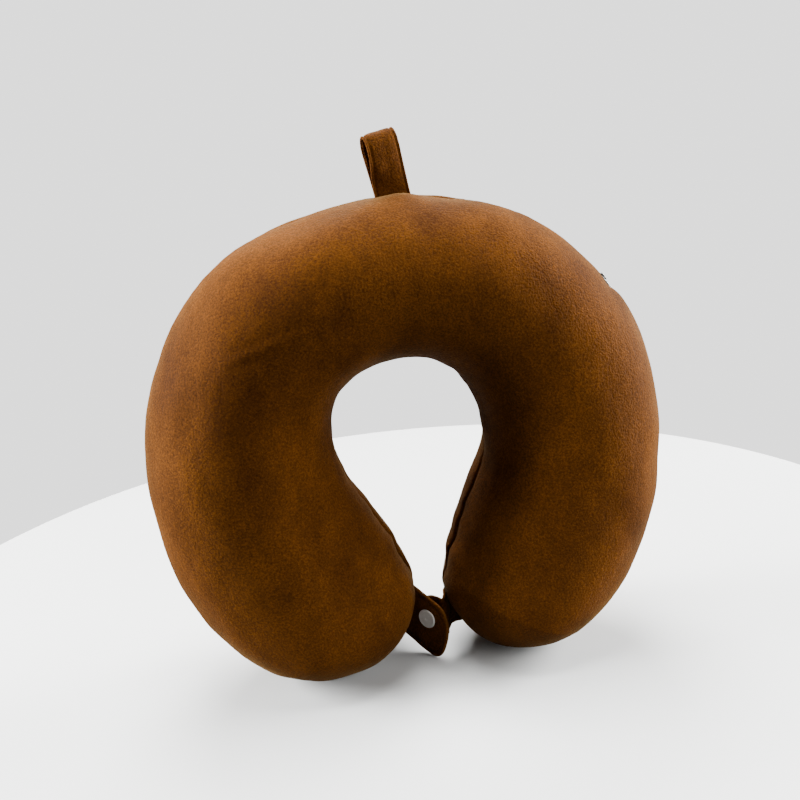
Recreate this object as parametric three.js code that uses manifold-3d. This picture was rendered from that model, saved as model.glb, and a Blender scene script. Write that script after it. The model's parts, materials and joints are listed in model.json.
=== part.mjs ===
// U shaped neck pillow, standing on its two lobe ends with the snap tabs closed.
// Millimetres, +Z up. X is the pillow's width, Y its thickness with the front at -Y.
// The origin is on the surface that it stands on, in the middle of the width and of the seam plane.

import * as THREE from 'three';
import { ParametricGeometry } from 'three/addons/geometries/ParametricGeometry.js';
import { mergeVertices } from 'three/addons/utils/BufferGeometryUtils.js';
import Module from 'manifold-3d';

const wasm = await Module();
wasm.setup();

// ---- Driving dimensions ----

// Right half of the seam outline: a chain of tangent arcs from the top round to the lobe's nose and back
// up into the neck hole. end is the direction of the arc's normal where the next arc takes over.
const TOP_CENTRE_Z = 97.3;
const TOP = { r: 170, end: 64 };
const SHOULDER = { r: 86, end: 47 };
const SIDE = { r: 154, end: -40 };
const LOBE = { r: 72, end: -91 };
const NOSE = { r: 43, end: -198 };
const INNER_R = 216;
const NECK_R = 45.7;

const HALF_THICKNESS = 51;
const FULL_HALF_WIDTH = 46;     // sections narrower than this get thinner in proportion
const LEAN = 5;                 // the closed tabs pull the neck hole and the noses this far to +X
const LEAN_REACH = 110;         // the lean fades to nothing at this distance from the middle

const COVER_STATIONS = 64;
const COVER_AROUND = 24;
const COVER_THICKNESS = 1.6;
const PANEL_GAP = 0.3;          // between the two cover panels along the seam
const FOAM_INSET_PLANE = 5.2;
const FOAM_INSET_ACROSS = 2.4;

// Zipper, measured radially from the cover's surface on the SIDE arc and in degrees round its centre
const SLIDER_ANGLE = 34;
const COIL_TOP_ANGLE = 35.9;
const COIL_BOTTOM_ANGLE = -35.6;
const TAPE_TOP_ANGLE = 38;
const TAPE_BOTTOM_ANGLE = -38;
const SLOT_HALF_WIDTH = 4.2;
const TAPE = { low: -3.7, high: -3.2, inner: 0.75, outer: 8 };
const COIL = { low: -2.9, high: -1.3, inner: 0.75, outer: 2.35 };
const STOP = { low: -2.9, high: -1, outer: 2.6, arc: 0.8 };
const SLIDER_LENGTH = 8;
const SLIDER_HALF_WIDTH = 3.5;
const PULL_LENGTH = 14;
const PULL_HALF_WIDTH = 2.6;
const PULL_THICKNESS = 0.9;
const BAIL_AXIS_HEIGHT = 1.7;   // the pull tab's pivot above the cover's surface

const LOOP_X = 7.5;
const LOOP_WIDTH = 18;
const LOOP_STRAP = 1.8;
const LOOP_BASE_R = 1.9;
const LOOP_TOP_R = 5.8;
const LOOP_HEIGHT = 26.2;       // from the sewn base's axis to the middle of the top bend
const LOOP_LEAN = 9;            // degrees towards -X

const TAB_THICKNESS = 2;
const TAB_HALF_WIDTH = 13;
const TAB_LENGTH = 30;
const TAB_CORNER_R = 11;
const TAB_ROOT_ANGLE = 16;      // below the level of the nose's centre
const TAB_ROOT_GAP = 1.5;
const TAB_HEADING = 46;         // how far the left tab swings forward of the seam plane
const TAB_DROOP = 24;
const SNAP_DISTANCE = 12;       // from the left tab's sewn root to its snap
const TAB_STACK = 5.1;          // between the two tabs' middle surfaces at the snap
const RIGHT_TAB_ROOT_ANGLE = 20;
const RIGHT_TAB_BEND = { distance: 10, r: 1.8 };
const RIGHT_TAB_END = 7;        // past the snap
const RIGHT_TAB_HALF_HEIGHT = 12;
const RIGHT_TAB_STATIONS = 26;
const CAP = { r: 5.8, rim: 0.7, dome: 1.4, shank: 1 };
const SNAP_HOLE_R = 1.5;
const SOCKET = { r: 4.6, bore: 3, plate: 0.5, height: 1.7 };
const STUD = { r: 4.6, plate: 0.5, post: 1.4, height: 0.8 };
const CLEARANCE = 0.3;

// ---- Materials ----

const velvet = () => new THREE.MeshStandardMaterial({ color: 0x6f4420, roughness: 0.95, metalness: 0 });
const foam = () => new THREE.MeshStandardMaterial({ color: 0xe9e2cf, roughness: 1, metalness: 0 });
const webbing = () => new THREE.MeshStandardMaterial({ color: 0x4a2d16, roughness: 0.9, metalness: 0 });
const coilNylon = () => new THREE.MeshStandardMaterial({ color: 0x54331a, roughness: 0.5, metalness: 0 });
const nickel = () => new THREE.MeshStandardMaterial({ color: 0x8d8a84, roughness: 0.3, metalness: 1 });
const snapPlastic = () => new THREE.MeshStandardMaterial({ color: 0xbdb8b0, roughness: 0.4, metalness: 0 });

// ---- Small helpers ----

const rad = THREE.MathUtils.degToRad;

function direction(degrees) {
  return new THREE.Vector2(Math.cos(rad(degrees)), Math.sin(rad(degrees)));
}

// Where the next arc's centre lies when its radius changes to r at the arc's end
function nextCentre(centre, arc, r) {
  return centre.clone().addScaledVector(direction(arc.end), arc.r - r);
}

// One closed body: shared vertices merged, empty triangles dropped, faces pointing out
function closedBody(source) {
  const geometry = source.clone();
  geometry.deleteAttribute('normal');
  geometry.deleteAttribute('uv');
  const merged = mergeVertices(geometry, 1e-4);
  const index = merged.index.array;
  const triangles = [];
  for (let i = 0; i < index.length; i += 3) {
    const [a, b, c] = [index[i], index[i + 1], index[i + 2]];
    if (a !== b && b !== c && c !== a) triangles.push([a, b, c]);
  }
  const position = merged.attributes.position;
  const corners = [new THREE.Vector3(), new THREE.Vector3(), new THREE.Vector3()];
  let volume = 0;
  for (const triangle of triangles) {
    triangle.forEach((vertex, k) => corners[k].fromBufferAttribute(position, vertex));
    volume += corners[0].dot(corners[1].clone().cross(corners[2]));
  }
  if (volume < 0) triangles.forEach((triangle) => triangle.reverse());
  merged.setIndex(triangles.flat());
  return merged;
}

function toManifold(geometry) {
  const body = closedBody(geometry);
  return new wasm.Manifold(new wasm.Mesh({
    numProp: 3,
    vertProperties: new Float32Array(body.attributes.position.array),
    triVerts: new Uint32Array(body.index.array),
  }));
}

function toGeometry(manifold) {
  const { vertProperties, triVerts } = manifold.getMesh();
  const geometry = new THREE.BufferGeometry();
  geometry.setAttribute('position', new THREE.BufferAttribute(vertProperties, 3));
  geometry.setIndex(new THREE.BufferAttribute(triVerts, 1));
  geometry.computeVertexNormals();
  return geometry;
}

// Joins the first bodies and cuts the others away
function joinAndCut(bodies, cutters = []) {
  let result = toManifold(bodies[0]);
  for (const body of bodies.slice(1)) result = result.add(toManifold(body));
  for (const cutter of cutters) result = result.subtract(toManifold(cutter));
  return toGeometry(result);
}

function named(name, geometry, material) {
  const mesh = new THREE.Mesh(geometry, material);
  mesh.name = name;
  return mesh;
}

// ---- Pillow body ----

// Centres and the two outline runs of the right half, both from the top to the nose's tip
function seamOutline(inset) {
  const top = new THREE.Vector2(0, TOP_CENTRE_Z);
  const shoulder = nextCentre(top, TOP, SHOULDER.r);
  const side = nextCentre(shoulder, SHOULDER, SIDE.r);
  const lobe = nextCentre(side, SIDE, LOBE.r);
  const nose = nextCentre(lobe, LOBE, NOSE.r);
  const inner = nextCentre(nose, NOSE, INNER_R);
  const reach = INNER_R + NECK_R;
  const neck = new THREE.Vector2(0, inner.y + Math.sqrt(reach * reach - inner.x * inner.x));
  const innerEnd = Math.atan2(neck.y - inner.y, neck.x - inner.x);
  const tip = (LOBE.end + NOSE.end) / 2;

  const outerRun = new THREE.CurvePath();
  const innerRun = new THREE.CurvePath();
  const addArc = (run, centre, r, from, to) => {
    run.add(new THREE.EllipseCurve(centre.x, centre.y, r, r, from, to, to < from));
  };
  addArc(outerRun, top, TOP.r - inset, rad(90), rad(TOP.end));
  addArc(outerRun, shoulder, SHOULDER.r - inset, rad(TOP.end), rad(SHOULDER.end));
  addArc(outerRun, side, SIDE.r - inset, rad(SHOULDER.end), rad(SIDE.end));
  addArc(outerRun, lobe, LOBE.r - inset, rad(SIDE.end), rad(LOBE.end));
  addArc(outerRun, nose, NOSE.r - inset, rad(LOBE.end), rad(tip));
  addArc(innerRun, neck, NECK_R + inset, rad(90), innerEnd - Math.PI);
  addArc(innerRun, inner, INNER_R - inset, innerEnd, rad(NOSE.end + 360));
  addArc(innerRun, nose, NOSE.r - inset, rad(NOSE.end), rad(tip));
  innerRun.curves[1].aClockwise = false;
  innerRun.curves[2].aClockwise = false;
  return { outerRun, innerRun, side, nose, neck };
}

function lean(x) {
  const fade = Math.max(0, 1 - (x / LEAN_REACH) ** 2);
  return LEAN * fade * fade;
}

// The pillow's surface moved in by an inset: a tube of elliptical sections between the two outline runs,
// tapering to a point at each nose, and flat where it rests on the floor
function pillowBody(insetPlane, insetAcross, stations, around) {
  const { outerRun, innerRun } = seamOutline(insetPlane);
  const surface = (u, v, target) => {
    const along = 2 * v - 1;
    const run = 1 - (1 - Math.abs(along)) ** 1.5;
    const outer = outerRun.getPoint(run);
    const inner = run === 1 ? outer : innerRun.getPoint(run);
    const halfWidth = outer.distanceTo(inner) / 2;
    const fullness = Math.min(halfWidth / (FULL_HALF_WIDTH - insetPlane), 1);
    const turn = 2 * Math.PI * u;
    const across = (1 + Math.cos(turn)) / 2;
    const x = Math.sign(along) * THREE.MathUtils.lerp(inner.x, outer.x, across);
    const y = (HALF_THICKNESS - insetAcross) * fullness * Math.sin(turn);
    const z = THREE.MathUtils.lerp(inner.y, outer.y, across);
    target.set(x + lean(x), Math.abs(y) < 1e-6 ? 0 : y, Math.max(z, insetPlane));
  };
  return new ParametricGeometry(surface, around, stations);
}

// Half space boxes and the zipper's slot, as cutters for the cover
function halfSpace(side) {
  const size = 800;
  const box = new THREE.BoxGeometry(size, size, size);
  box.translate(0, side * (size / 2 + PANEL_GAP / 2), 0);
  return box;
}

// A strip that follows the SIDE arc, between two radial offsets from the cover's surface
function sideStrip(low, high, fromDegrees, toDegrees, yFrom, yTo) {
  const { side } = seamOutline(0);
  const shape = new THREE.Shape();
  shape.absarc(0, 0, SIDE.r + high, rad(fromDegrees), rad(toDegrees), false);
  shape.absarc(0, 0, SIDE.r + low, rad(toDegrees), rad(fromDegrees), true);
  const depth = yTo - yFrom;
  const curveSegments = Math.ceil((toDegrees - fromDegrees) / 3);
  const strip = new THREE.ExtrudeGeometry(shape, { depth, bevelEnabled: false, curveSegments });
  strip.rotateX(Math.PI / 2);
  strip.translate(side.x, yTo, side.y);
  return strip;
}

function coverPanel(name, side) {
  const outer = toManifold(pillowBody(0, 0, COVER_STATIONS, COVER_AROUND));
  const hollow = toManifold(
    pillowBody(COVER_THICKNESS, COVER_THICKNESS, COVER_STATIONS, COVER_AROUND),
  );
  const slot = sideStrip(-10, 6, TAPE_BOTTOM_ANGLE, TAPE_TOP_ANGLE, -SLOT_HALF_WIDTH, SLOT_HALF_WIDTH);
  const shell = outer.subtract(hollow).intersect(toManifold(halfSpace(side))).subtract(toManifold(slot));
  return named(name, toGeometry(shell), velvet());
}

function foamCore() {
  const body = toManifold(pillowBody(FOAM_INSET_PLANE, FOAM_INSET_ACROSS, 48, 16));
  return named('foam_core', toGeometry(body), foam());
}

// ---- Zipper ----

// Mirrors a strip's y range for the back half
function zipperHalf(name, part, top, bottom, side, material) {
  const [yFrom, yTo] = side < 0 ? [-part.outer, -part.inner] : [part.inner, part.outer];
  return named(name, sideStrip(part.low, part.high, bottom, top, yFrom, yTo), material);
}

function topStop(name, side) {
  const start = COIL_TOP_ANGLE + 0.2;
  const part = { low: STOP.low, high: STOP.high, inner: COIL.inner, outer: STOP.outer };
  return zipperHalf(name, part, start + STOP.arc, start, side, nickel());
}

function bottomStop() {
  const start = COIL_BOTTOM_ANGLE - 0.2;
  const strip = sideStrip(STOP.low, STOP.high, start - STOP.arc, start, -STOP.outer, STOP.outer);
  return named('zipper_bottom_stop', strip, nickel());
}

// Slider in its own frame: x along the zipper towards its closed end, y across, z out of the cover
function sliderBody() {
  const box = (x0, x1, y0, y1, z0, z1) => {
    const part = new THREE.BoxGeometry(x1 - x0, y1 - y0, z1 - z0);
    part.translate((x0 + x1) / 2, (y0 + y1) / 2, (z0 + z1) / 2);
    return part;
  };
  const half = SLIDER_LENGTH / 2;
  const wide = SLIDER_HALF_WIDTH;
  const plates = [
    box(-half, half, -wide, wide, TAPE.low - 1.3, TAPE.low - CLEARANCE),
    box(-half, half, -wide, wide, COIL.high + 0.5, 0.7),
    box(1.5, half - 0.6, -0.45, 0.45, TAPE.low - 0.5, 0),
    box(-half, half, -wide, -2.9, TAPE.high + 0.5, 0),
    box(-half, half, 2.9, wide, TAPE.high + 0.5, 0),
  ];
  const bailHeight = BAIL_AXIS_HEIGHT + 1.5;
  const bail = new THREE.Shape();
  bail.moveTo(-2.6, 0.3);
  bail.lineTo(2.6, 0.3);
  bail.lineTo(2.6, bailHeight - 1);
  bail.absarc(1.6, bailHeight - 1, 1, 0, Math.PI / 2, false);
  bail.absarc(-1.6, bailHeight - 1, 1, Math.PI / 2, Math.PI, false);
  bail.closePath();
  const hole = new THREE.Path();
  hole.absarc(0, BAIL_AXIS_HEIGHT, 0.8, 0, 2 * Math.PI, true);
  bail.holes.push(hole);
  const arch = new THREE.ExtrudeGeometry(bail, { depth: 2.4, bevelEnabled: false, curveSegments: 6 });
  arch.rotateX(Math.PI / 2);
  arch.translate(0, 1.2, 0);
  return named('zipper_slider_body', joinAndCut([...plates, arch]), nickel());
}

// Pull tab in the slider's frame, lying along the closed zipper, with a bar through the bail
function pullTab() {
  const outline = new THREE.Shape();
  const half = PULL_HALF_WIDTH;
  const barHalf = PULL_THICKNESS / 2;
  outline.moveTo(barHalf, -half);
  outline.lineTo(barHalf, half);
  outline.lineTo(2 - PULL_LENGTH, half);
  outline.absarc(2 - PULL_LENGTH, 0, half, Math.PI / 2, 1.5 * Math.PI, false);
  outline.closePath();
  const window = new THREE.Path();
  window.moveTo(-barHalf, -1.5);
  window.lineTo(-3.3, -1.5);
  window.lineTo(-3.3, 1.5);
  window.lineTo(-barHalf, 1.5);
  window.closePath();
  outline.holes.push(window);
  const plate = new THREE.ExtrudeGeometry(outline, {
    depth: PULL_THICKNESS, bevelEnabled: false, curveSegments: 6,
  });
  plate.translate(0, 0, BAIL_AXIS_HEIGHT - barHalf);
  return named('zipper_pull_tab', plate, nickel());
}

function slider() {
  const { side } = seamOutline(0);
  const group = new THREE.Group();
  const out = direction(SLIDER_ANGLE);
  const axisOut = new THREE.Vector3(out.x, 0, out.y);
  const axisAcross = new THREE.Vector3(0, 1, 0);
  const axisAlong = new THREE.Vector3().crossVectors(axisAcross, axisOut);
  group.matrixAutoUpdate = false;
  group.matrix.makeBasis(axisAlong, axisAcross, axisOut);
  group.matrix.setPosition(side.x + SIDE.r * out.x, 0, side.y + SIDE.r * out.y);
  const body = sliderBody();
  const pull = pullTab();
  // the along axis points down the arc, so the closed end is behind it
  for (const mesh of [body, pull]) mesh.rotation.z = Math.PI;
  group.add(body, pull);
  return group;
}

// ---- Hanging loop ----

function hangingLoop() {
  const base = TOP_CENTRE_Z + TOP.r + CLEARANCE + LOOP_BASE_R;
  const spread = Math.asin((LOOP_TOP_R - LOOP_BASE_R) / LOOP_HEIGHT);
  const band = new THREE.Shape();
  band.absarc(0, 0, LOOP_BASE_R, Math.PI - spread, 2 * Math.PI + spread, false);
  band.absarc(0, LOOP_HEIGHT, LOOP_TOP_R, spread, Math.PI - spread, false);
  const gapTop = LOOP_TOP_R - LOOP_STRAP;
  const gap = new THREE.Path();
  gap.absarc(0, LOOP_HEIGHT, gapTop, spread, Math.PI - spread, false);
  gap.absarc(0, LOOP_BASE_R + 4, 0.25, Math.PI - spread, 2 * Math.PI + spread, false);
  band.holes.push(gap);
  const loop = new THREE.ExtrudeGeometry(band, {
    depth: LOOP_WIDTH, bevelEnabled: false, curveSegments: 10,
  });
  // section in the YZ plane, extruded along X, then sheared towards -X with height
  loop.translate(0, 0, -LOOP_WIDTH / 2);
  loop.rotateX(Math.PI / 2);
  loop.rotateZ(Math.PI / 2);
  const slope = -Math.tan(rad(LOOP_LEAN));
  loop.applyMatrix4(new THREE.Matrix4().makeShear(0, 0, 0, 0, slope, 0));
  loop.translate(LOOP_X, 0, base);
  return named('hanging_loop', loop, velvet());
}

// ---- Snap tabs ----

// Middle of a tab's sewn edge, just off the nose, with the line that it lies on: side -1 left, 1 right
function tabRoot(side, angle) {
  const { nose } = seamOutline(0);
  const out = direction(-angle);
  const x = side * (nose.x - NOSE.r * out.x);
  const point = new THREE.Vector3(x + lean(x), 0, nose.y + NOSE.r * out.y);
  point.x -= side * TAB_ROOT_GAP * out.x;
  point.z += TAB_ROOT_GAP * out.y;
  return { point, edge: new THREE.Vector3(side * out.y, 0, out.x) };
}

// Frame of the left tab: along it, up its width, and out of its front face
function leftTabFrame() {
  const root = tabRoot(-1, TAB_ROOT_ANGLE).point;
  const flat = new THREE.Vector3(Math.cos(rad(TAB_HEADING)), -Math.sin(rad(TAB_HEADING)), 0);
  const along = flat.clone().multiplyScalar(Math.cos(rad(TAB_DROOP)));
  along.z = -Math.sin(rad(TAB_DROOP));
  const front = new THREE.Vector3(-Math.sin(rad(TAB_HEADING)), -Math.cos(rad(TAB_HEADING)), 0);
  const up = new THREE.Vector3().crossVectors(front, along);
  return { root, flat, along, up, front, snap: root.clone().addScaledVector(along, SNAP_DISTANCE) };
}

// Lathe profile of [radius, height] pairs, turned round the tab's front direction at the snap
function snapPiece(name, profile) {
  const { front, snap } = leftTabFrame();
  const points = profile.map(([r, height]) => new THREE.Vector2(r, height));
  const piece = new THREE.LatheGeometry(points, 24);
  piece.applyQuaternion(new THREE.Quaternion().setFromUnitVectors(new THREE.Vector3(0, 1, 0), front));
  piece.translate(snap.x, snap.y, snap.z);
  return named(name, toGeometry(toManifold(piece)), snapPlastic());
}

function snapHole() {
  const { front, snap } = leftTabFrame();
  const hole = new THREE.CylinderGeometry(SNAP_HOLE_R, SNAP_HOLE_R, 4 * TAB_STACK, 20);
  hole.applyQuaternion(new THREE.Quaternion().setFromUnitVectors(new THREE.Vector3(0, 1, 0), front));
  hole.translate(snap.x, snap.y, snap.z);
  return hole;
}

// Cap profile at a height, its dome facing the way that facing says, with the shank through the tab
function capProfile(height, shankEnd, facing) {
  const { r, rim, dome, shank } = CAP;
  return [
    [0, shankEnd],
    [shank, shankEnd],
    [shank, height],
    [r - 0.4, height],
    [r, height + facing * 0.3],
    [r, height + facing * rim],
    [r - 0.7, height + facing * dome * 0.9],
    [r - 1.5, height + facing * dome * 0.85],
    [0, height + facing * dome],
  ];
}

function leftTab() {
  const { root, along, up, front } = leftTabFrame();
  const far = TAB_LENGTH - TAB_CORNER_R;
  const high = TAB_HALF_WIDTH - TAB_CORNER_R;
  const outline = new THREE.Shape();
  outline.moveTo(0, -TAB_HALF_WIDTH);
  outline.absarc(far, -high, TAB_CORNER_R, -Math.PI / 2, 0, false);
  outline.absarc(far, high, TAB_CORNER_R, 0, Math.PI / 2, false);
  outline.lineTo(0, TAB_HALF_WIDTH);
  outline.closePath();
  const plate = new THREE.ExtrudeGeometry(outline, {
    depth: TAB_THICKNESS, bevelEnabled: false, curveSegments: 10,
  });
  plate.translate(0, 0, -TAB_THICKNESS / 2);
  const rootRoll = new THREE.CylinderGeometry(TAB_THICKNESS / 2, TAB_THICKNESS / 2, 2 * TAB_HALF_WIDTH, 16);
  const frame = new THREE.Matrix4().makeBasis(along, up, front).setPosition(root);
  plate.applyMatrix4(frame);
  rootRoll.applyMatrix4(frame);
  return named('left_snap_tab', joinAndCut([plate, rootRoll], [snapHole()]), velvet());
}

// The right tab's middle line seen from above: forward from its root, round a tight bend, then back along
// the rear of the left tab to its free end
function rightTabLine(root, stud, flat) {
  const bend = stud.clone().addScaledVector(flat, RIGHT_TAB_BEND.distance);
  const corner = new THREE.Vector2(bend.x, bend.y);
  const start = new THREE.Vector2(root.x, root.y);
  const first = corner.clone().sub(start).normalize();
  const second = new THREE.Vector2(-flat.x, -flat.y);
  const halfOpening = Math.acos(-first.dot(second)) / 2;
  const towards = second.clone().sub(first).normalize();
  const centre = corner.clone().addScaledVector(towards, RIGHT_TAB_BEND.r / Math.sin(halfOpening));
  const tangentLength = RIGHT_TAB_BEND.r / Math.tan(halfOpening);
  const bendStart = corner.clone().addScaledVector(first, -tangentLength);
  const bendEnd = corner.clone().addScaledVector(second, tangentLength);
  const tip = corner.clone().addScaledVector(second, RIGHT_TAB_BEND.distance + RIGHT_TAB_END);
  const fromAngle = bendStart.clone().sub(centre).angle();
  const toAngle = bendEnd.clone().sub(centre).angle();
  const line = new THREE.CurvePath();
  line.add(new THREE.LineCurve(start, bendStart));
  line.add(new THREE.EllipseCurve(centre.x, centre.y, RIGHT_TAB_BEND.r, RIGHT_TAB_BEND.r, fromAngle, toAngle,
    true));
  line.add(new THREE.LineCurve(bendEnd, tip));
  return line;
}

// A strip of rectangular sections along that line. It leans with the sewn edge at the root, stands upright
// from the bend on, and its free corners are rounded.
function rightTab() {
  const { flat, front, snap } = leftTabFrame();
  const { point: root, edge } = tabRoot(1, RIGHT_TAB_ROOT_ANGLE);
  const stud = snap.clone().addScaledVector(front, -TAB_STACK);
  const line = rightTabLine(root, stud, flat);
  const length = line.getLength();
  const upright = new THREE.Vector3(0, 0, 1);
  const cornerR = 5;
  const corners = [[-1, -1], [1, -1], [1, 1], [-1, 1], [-1, -1]];
  const surface = (u, v, target) => {
    const t = THREE.MathUtils.clamp((v * RIGHT_TAB_STATIONS - 1) / (RIGHT_TAB_STATIONS - 2), 0, 1);
    const middle = line.getPointAt(t);
    const tangent = line.getTangentAt(t);
    const raised = Math.min(t * 2.5, 1);
    const width = edge.clone().lerp(upright, raised);
    const thick = new THREE.Vector3(tangent.y, -tangent.x, 0);
    const fromTip = Math.min((1 - t) * length, cornerR);
    const rounding = cornerR - Math.sqrt(cornerR ** 2 - (cornerR - fromTip) ** 2);
    const [across, through] = corners[Math.round(u * 4)];
    const isEnd = v === 0 || v === 1;
    target.set(middle.x, middle.y, THREE.MathUtils.lerp(root.z, stud.z, raised));
    if (isEnd) return;
    target.addScaledVector(width, across * (RIGHT_TAB_HALF_HEIGHT - rounding));
    target.addScaledVector(thick, through * TAB_THICKNESS / 2);
  };
  const strip = new ParametricGeometry(surface, 4, RIGHT_TAB_STATIONS);
  return named('right_snap_tab', joinAndCut([strip], [snapHole()]), velvet());
}

function snapPieces() {
  const faceHeight = TAB_THICKNESS / 2;
  const capBase = faceHeight + CLEARANCE;
  const socketTop = -faceHeight - CLEARANCE;
  const socketFloor = socketTop - SOCKET.plate;
  const socketRim = socketTop - SOCKET.height;
  const studTop = -TAB_STACK + faceHeight + CLEARANCE + STUD.plate;
  const studBase = studTop - STUD.plate;
  const rearBase = -TAB_STACK - faceHeight - CLEARANCE;
  return [
    snapPiece('front_snap_cap', capProfile(capBase, -faceHeight, 1)),
    snapPiece('snap_socket', [
      [0, socketTop],
      [SOCKET.r, socketTop],
      [SOCKET.r, socketRim],
      [SOCKET.bore, socketRim],
      [SOCKET.bore, socketFloor],
      [0, socketFloor],
    ]),
    snapPiece('snap_stud', [
      [0, studBase],
      [STUD.r, studBase],
      [STUD.r, studTop],
      [STUD.post, studTop],
      [STUD.post, studTop + STUD.height - 0.3],
      [STUD.post - 0.4, studTop + STUD.height],
      [0, studTop + STUD.height],
    ]),
    snapPiece('rear_snap_cap', capProfile(rearBase, -TAB_STACK + faceHeight, -1)),
  ];
}

// ---- Assembly ----

const pillow = new THREE.Group();
pillow.add(coverPanel('cover_front_panel', -1), coverPanel('cover_back_panel', 1), foamCore());
for (const [place, side] of [['front', -1], ['back', 1]]) {
  pillow.add(zipperHalf(`zipper_tape_${place}`, TAPE, TAPE_TOP_ANGLE - 0.3, TAPE_BOTTOM_ANGLE + 0.3, side,
    webbing()));
  pillow.add(zipperHalf(`zipper_coil_${place}`, COIL, COIL_TOP_ANGLE, COIL_BOTTOM_ANGLE, side, coilNylon()));
  pillow.add(topStop(`zipper_top_stop_${place}`, side));
}
pillow.add(bottomStop(), slider(), hangingLoop(), leftTab(), rightTab(), ...snapPieces());

export default pillow;
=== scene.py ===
import json
import math

import bmesh
import bpy
import numpy as np
from mathutils import Matrix, Vector


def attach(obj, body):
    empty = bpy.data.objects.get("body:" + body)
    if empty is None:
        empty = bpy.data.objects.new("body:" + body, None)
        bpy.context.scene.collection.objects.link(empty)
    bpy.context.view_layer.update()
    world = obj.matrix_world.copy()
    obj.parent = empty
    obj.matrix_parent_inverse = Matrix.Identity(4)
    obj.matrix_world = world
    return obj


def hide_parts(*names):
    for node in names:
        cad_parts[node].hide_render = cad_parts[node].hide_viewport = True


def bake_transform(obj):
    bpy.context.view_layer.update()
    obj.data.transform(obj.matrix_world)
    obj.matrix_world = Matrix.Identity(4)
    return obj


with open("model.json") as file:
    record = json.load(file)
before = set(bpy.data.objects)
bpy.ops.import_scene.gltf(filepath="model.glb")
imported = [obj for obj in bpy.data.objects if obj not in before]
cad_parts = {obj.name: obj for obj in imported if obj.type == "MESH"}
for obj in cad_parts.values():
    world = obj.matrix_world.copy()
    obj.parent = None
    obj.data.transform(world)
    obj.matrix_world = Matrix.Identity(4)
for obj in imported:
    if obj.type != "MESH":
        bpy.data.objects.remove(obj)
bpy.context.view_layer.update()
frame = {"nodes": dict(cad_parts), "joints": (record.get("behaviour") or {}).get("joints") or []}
joints = {joint["name"]: joint for joint in frame["joints"]}

# ---------------------------------------------------------------------------------------------------
# Dimensions, in metres and degrees. The seam's outline is the frame's own chain of tangent arcs, each
# with its radius and the angle where it ends.
# ---------------------------------------------------------------------------------------------------
TOP_CENTRE_Z = 0.0973
TOP = (0.170, 64)
SHOULDER = (0.086, 47)
SIDE = (0.154, -40)
LOBE = (0.072, -91)
NOSE = (0.043, -198)
INNER_R = 0.216
NECK_R = 0.0457
HALF_THICKNESS = 0.051
FULL_HALF_WIDTH = 0.046
LEAN = 0.005
LEAN_REACH = 0.110

# How far the stuffed body stands out of that outline, in millimetres, by place along the tube from the
# left nose's tip (-1) to the right one's (1). Out means away from the hole on the outside, and into the
# hole on the inside.
OUTER_SWELL = [(-1, 0), (-0.92, -3), (-0.86, -0.5), (-0.78, 0.6), (-0.72, 2.2), (-0.62, 2.6), (-0.52, 1.7),
               (-0.42, -1.6), (-0.36, -1.6), (-0.28, 0), (-0.22, 0.9), (-0.14, -0.4), (-0.06, 0.3), (0, 0),
               (0.06, -1.2), (0.13, -1), (0.18, 2), (0.23, 4.4), (0.28, 3.8), (0.34, 1.7), (0.43, 1.8),
               (0.5, 3.5), (0.56, 5), (0.62, 3.6), (0.67, 0.4), (0.75, -0.6), (0.85, -0.8), (1, 0)]
INNER_SWELL = [(-1, 0), (-0.9, 1), (-0.78, 2), (-0.6, 1.8), (-0.44, 2.2), (-0.37, 4), (-0.3, 5.6),
               (-0.25, 3.9), (-0.2, 0.6), (-0.15, -2.5), (-0.1, -3.6), (-0.05, -2.4), (0, -1.4), (0.05, -0.5),
               (0.1, 1.5), (0.15, 3.8), (0.2, 5.6), (0.25, 6.1), (0.3, 4.4), (0.37, 2), (0.45, 0.2),
               (0.55, -0.5), (0.7, 0.4), (0.8, 1), (0.9, 0.5), (1, 0)]

# The cover's two panels: front at -Y and back at +Y
SIDES = {"front": -1, "back": 1}
STATIONS = 300          # per half, from the top to a nose
AROUND = 100            # from the outer seam to the inner one
CLOTH_THICKNESS = 0.0012
LIP_R = 0.0015          # rounding of a panel's edge into the seam
SEAM_PRESS = 0.00018    # how far each panel's edge presses past the seam's plane
LOOP_TUCK = np.array([0.0125, -0.0085, 0.2668])      # the cover bulges here, in front of the loop
CREASE = np.array([(-0.0887, 0.1964), (-0.0686, 0.2018), (-0.0494, 0.2068), (-0.0298, 0.2078)])

FOAM_STATIONS = 181
FOAM_AROUND = 64
FOAM_INSET = 0.0052     # in the seam's plane
FOAM_INSET_ACROSS = 0.0026

# The zipper's ends and its slider, in degrees on the side's arc
ZIP_TOP = 38
ZIP_BOTTOM = -38
COIL_TOP = 37.2
COIL_BOTTOM = -35.4
SLIDER_AT = 34
ZIP_HALF_GAP = 0.0037
COIL_PITCH = 0.00124
COIL_WIRE_R = 0.00033
STITCH_FROM_SLOT = 0.004
STAMPED_EDGE_R = 0.0002

# The snap tabs: directions in degrees, the rest in metres
TAB_HEADING = 46        # how far the left tab swings forward of the seam's plane
TAB_DROOP = 24
SNAP_DISTANCE = 0.012   # from the left tab's sewn root to its snap
TAB_STACK = 0.0051      # between the two tabs' middle surfaces at the snap
TAB_STITCH_INSET = 0.0032
LEFT_TAB_HALF_WIDTH = 0.0174
LEFT_TAB_TIP_R = 0.0155
RIGHT_TAB_HALF_WIDTH = 0.0120
RIGHT_TAB_TIP_R = 0.0075

# Light: linear colours of the room's front and back, what the camera sees of it, and the lamps' target
WORLD_FRONT = (0.02, 0.02, 0.02)
WORLD_BACK = (0.12, 0.12, 0.125)
WORLD_SEEN = (2.0, 2.0, 1.99)
FLOOR_BOUNCE = 0.2      # how much of its light the table top gives back to the object
LIGHT_TARGET = (0, 0, 0.15)

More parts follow.
